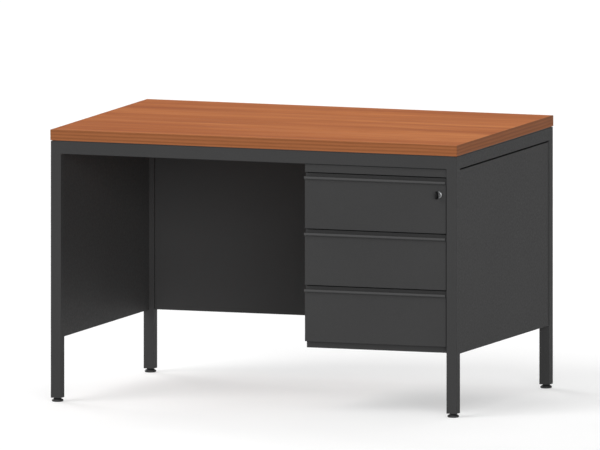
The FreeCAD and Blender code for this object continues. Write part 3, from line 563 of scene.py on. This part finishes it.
def make_feet():
    for row in ("front", "rear"):
        for side in ("left", "right"):
            node = f"foot_{row}_{side}"
            low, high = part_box(node)
            foot = Vector(((low.x + high.x) / 2, (low.y + high.y) / 2, low.z))
            line = soften(in_metres(GLIDE))
            form = bmesh.new()
            lathe(form, foot, UP, line, 72)
            glide = add_piece(f"glide_{row}_{side}", form, "black_plastic", body_of(node))
            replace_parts(glide, node)

            form = bmesh.new()
            top = high.z - low.z
            rows = round((top - STUD_START) / THREAD_PITCH * THREAD_ROWS)
            loops = []
            for step in range(rows + 1):
                along = STUD_START + (top - STUD_START) * step / rows
                taper = min(1, STUD_TIP + (top - along) / THREAD_PITCH * (1 - STUD_TIP))

                def radius(angle):
                    phase = (along / THREAD_PITCH - angle / TURN) % 1
                    return (STUD_RADIUS - THREAD_DEPTH * abs(2 * phase - 1)) * taper
                loops.append(ring(foot, UP, radius, along, STUD_COUNT))
            skin(form, loops)
            stud = add_piece(f"stud_{row}_{side}", form, "zinc_steel", body_of(node), 25)
            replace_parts(stud, node)


# The lock: a turned shell with a domed rosette, and a key with a moulded head.

OUT = -BACK
# (radius, distance in front of the drawer's face, rounding) in millimetres
SHELL = ((6.1, -19.0, 0), (7.6, -19.0, 0.3), (8.0, -18.4, 0), (8.0, 0.0, 0), (10.2, 0.0, 0),
         (10.4, 0.3, 0.2), (10.4, 1.1, 0.3), (9.4, 2.3, 0.9), (7.6, 3.35, 0.8), (6.6, 3.4, 0.25),
         (6.1, 2.9, 0))
BOW_OUTER_ROUND = 11.0 * MM
BOW_INNER_ROUND = 5.0 * MM
RING_HOLE_MARGIN = 5.0 * MM  # from the hole's centre to the head's outer end
RING_HOLE_RADIUS = 2.0 * MM
RING_BOSS_RADIUS = 3.5 * MM

# (share of the way between two loops, share of half the head's thickness)
EDGE_TO_BOSS = ((0.0, 0.35), (0.015, 0.62), (0.04, 0.86), (0.08, 0.97), (0.12, 1.0), (0.24, 1.0),
                (0.28, 0.93), (0.31, 0.68), (0.34, 0.60), (0.90, 0.60), (0.95, 0.68), (0.98, 0.90))
BOSS_TO_BORE = ((0.10, 1.0), (0.75, 1.0), (0.93, 0.93), (1.0, 0.78))


def make_lock():
    low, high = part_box("lock_barrel")
    centre = Vector(((low.x + high.x) / 2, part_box("pedestal_fascia")[0].y, (low.z + high.z) / 2))
    form = bmesh.new()
    lathe(form, centre, OUT, soften(in_metres(SHELL)), 96, closed=True)
    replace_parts(add_piece("lock_rosette", form, "chrome", body_of("lock_barrel"), 30), "lock_barrel")


def make_key_head():
    """A moulded head: rounded edges, a recess in both faces and a bushed hole for the ring."""
    low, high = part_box("key_bow")
    middle = (low + high) / 2
    half_length, half_height, half_thick = ((high - low) / 2).yzx
    hole = Vector((0, -(half_length - RING_HOLE_MARGIN), 0))
    outline = soften([(-half_length, -half_height, BOW_OUTER_ROUND),
                      (half_length, -half_height, BOW_INNER_ROUND),
                      (half_length, half_height, BOW_INNER_ROUND),
                      (-half_length, half_height, BOW_OUTER_ROUND)], 12)
    count = 96
    edge, boss, bore = [], [], []
    for index in range(count):
        across, over = turn(TURN * index / count)
        edge.append(Vector((0, *ray_hit(outline, (hole.y, 0), (across, over)))))
        boss.append(hole + Vector((0, across, over)) * RING_BOSS_RADIUS)
        bore.append(hole + Vector((0, across, over)) * RING_HOLE_RADIUS)
    steps = [(edge, boss, share, level) for share, level in EDGE_TO_BOSS]
    steps += [(boss, bore, share, level) for share, level in BOSS_TO_BORE]
    steps += [(outside, inside, share, -level) for outside, inside, share, level in reversed(steps)]
    form = bmesh.new()
    skin(form, [[middle + start.lerp(end, share) + RIGHT * (half_thick * level)
                 for start, end in zip(outside, inside)] for outside, inside, share, level in steps],
         closed=True)
    head = add_piece("key_head", form, "black_plastic", body_of("key_bow"), 40)
    head.data.materials[0] = key_plastic
    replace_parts(head, "key_bow")


def ray_hit(outline, start, towards):
    """Where a ray from inside an outline of 2-D points leaves it."""
    start, towards = Vector(start), Vector(towards)
    for index, first in enumerate(outline):
        second = outline[(index + 1) % len(outline)]
        side = second - first
        spread = towards.x * side.y - towards.y * side.x
        if abs(spread) < 1e-12:
            continue
        gap = first - start
        along = (gap.x * side.y - gap.y * side.x) / spread
        share = (gap.x * towards.y - gap.y * towards.x) / spread
        if along > 0 and -1e-6 <= share <= 1 + 1e-6:
            return start + towards * along
    raise ValueError("the start is outside the outline")


# Pan-head screws with a cross recess: in the drawers' front walls, and through the runners' members.

RECESS_REACH = 0.55          # of the head's radius
RECESS_HALF_WIDTH = 0.1265   # of the head's radius

# (share of the head's radius, share of its height), from the seat to the recess's rim
PAN_HEAD = ((0.985, 0.0), (1.0, 0.12), (1.0, 0.30), (0.97, 0.48), (0.89, 0.68), (0.78, 0.84),
            (0.68, 0.93))
# (share of the cross's size, share of the head's height), from the rim to the bottom
RECESS = ((1.0, 0.97), (0.96, 0.93), (0.72, 0.35))

BOX_HEAD_RADIUS = 4.0 * MM
BOX_HEAD_HEIGHT = 2.2 * MM
BOX_SHANK_RADIUS = 2.0 * MM
BOX_SHANK_LENGTH = 8.0 * MM
RUNNER_HEAD_RADIUS = 4.2 * MM
RUNNER_HEAD_HEIGHT = 1.8 * MM
RUNNER_WEB = 1.2 * MM
RUNNER_SCREWS = (0.06, 0.30, 0.55, 0.80, 0.94)   # shares of the runner's length


def recess_radius(reach, half_width):
    """The distance to the edge of a cross, as a function of the angle."""
    def radius(angle):
        from_arm = (angle + math.pi / 4) % (math.pi / 2) - math.pi / 4
        return min(reach / math.cos(from_arm), half_width / max(abs(math.sin(from_arm)), 1e-9))
    return radius


def screw(form, seat, axis, head_radius, head_height, shank_radius=0.0, shank_length=0.0):
    """A pan head on its seat, domed, with a tapered cross recess; the shank runs back from the seat."""
    count = 64
    cross = recess_radius(head_radius * RECESS_REACH, head_radius * RECESS_HALF_WIDTH)
    line = []
    if shank_length:
        line += [(shank_radius * 0.7, -shank_length), (shank_radius, -shank_length * 0.9),
                 (shank_radius, 0)]
    line += [(head_radius * across, head_height * along) for across, along in PAN_HEAD]
    loops = [ring(seat, axis, radius, along, count) for radius, along in line]
    for share, along in RECESS:
        loops.append(ring(seat, axis, lambda angle: cross(angle) * share, head_height * along, count))
    skin(form, loops)


def make_screws():
    reach, height = BOX_HEAD_RADIUS, BOX_HEAD_HEIGHT
    for number in (1, 2, 3):
        node = f"drawer_{number}_screws"
        low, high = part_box(node)
        form = bmesh.new()
        for x in (low.x + reach, high.x - reach):
            for z in (low.z + reach, high.z - reach):
                screw(form, Vector((x, high.y - height, z)), BACK, reach, height,
                      BOX_SHANK_RADIUS, BOX_SHANK_LENGTH)
        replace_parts(add_piece(f"drawer_{number}_pan_screws", form, "zinc_steel", body_of(node)), node)

        low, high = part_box(f"runner_{number}_inner")
        box_low, box_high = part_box(f"drawer_{number}_box")
        form = bmesh.new()
        for share in RUNNER_SCREWS:
            y, z = low.y + (high.y - low.y) * share, (low.z + high.z) / 2
            for x, outwards in ((box_low.x - RUNNER_WEB, -RIGHT), (box_high.x + RUNNER_WEB, RIGHT)):
                screw(form, Vector((x, y, z)), outwards, RUNNER_HEAD_RADIUS, RUNNER_HEAD_HEIGHT)
        add_piece(f"runner_{number}_fixings", form, "zinc_steel", body_of(f"runner_{number}_inner"))


make_joints()
make_tape()
make_feet()
make_lock()
make_key_head()
make_screws()


# ---- stage ----------------------------------------------------------------------------------------

# (name, azimuth, elevation, strength, angle across the lamp), all but the strength in degrees
LAMPS = (
    ("fill", 26, 6, 3.05, 30),
    ("key", -35, 40, 1.5, 40),
    ("top", 0, 80, 0.3, 60),
    ("back", 180, 40, 0.4, 40),
    ("rear_fill", 232, 14, 2.2, 30),
)
SKY_STRENGTH = 0.36
FLOOR_REACH = 60.0           # from the middle to each side
FLOOR_GLOW = 0.45            # the floor also shines a little, so that shadows on it stay faint


def make_floor():
    reach = FLOOR_REACH
    mesh = bpy.data.meshes.new("floor")
    mesh.from_pydata([(-reach, -reach, 0), (reach, -reach, 0), (reach, reach, 0), (-reach, reach, 0)],
                     [], [(0, 1, 2, 3)])
    floor = bpy.data.objects.new("floor", mesh)
    bpy.context.scene.collection.objects.link(floor)
    shader = Shader("pale_floor", roughness=0.9, specular=0.0)
    cloud = shader.noise((1.5, 1.5, 1.5), 2.0)
    shader.set("Base Color", shader.ramp(cloud, (0.3, grey(0.54)), (0.7, grey(0.58))))
    shader.surface.inputs["Emission Color"].default_value = (1.0, 1.0, 1.0, 1.0)
    shader.surface.inputs["Emission Strength"].default_value = FLOOR_GLOW
    mesh.materials.append(shader.material)


def make_lights():
    world = bpy.data.worlds.new("studio")
    world.use_nodes = True
    sky = world.node_tree.nodes["Background"]
    sky.inputs["Color"].default_value = (1.0, 1.0, 1.0, 1.0)
    sky.inputs["Strength"].default_value = SKY_STRENGTH
    bpy.context.scene.world = world
    for name, azimuth, elevation, strength, angle in LAMPS:
        lamp = bpy.data.objects.new(name, bpy.data.lights.new(name, "SUN"))
        lamp.data.energy = strength
        lamp.data.angle = math.radians(angle)
        lamp.rotation_mode = "QUATERNION"
        towards = direction(math.radians(azimuth), math.radians(elevation))
        lamp.rotation_quaternion = (-towards).to_track_quat("-Z", "Y")
        bpy.context.scene.collection.objects.link(lamp)


make_floor()
make_lights()
bpy.context.scene.view_settings.view_transform = "Standard"
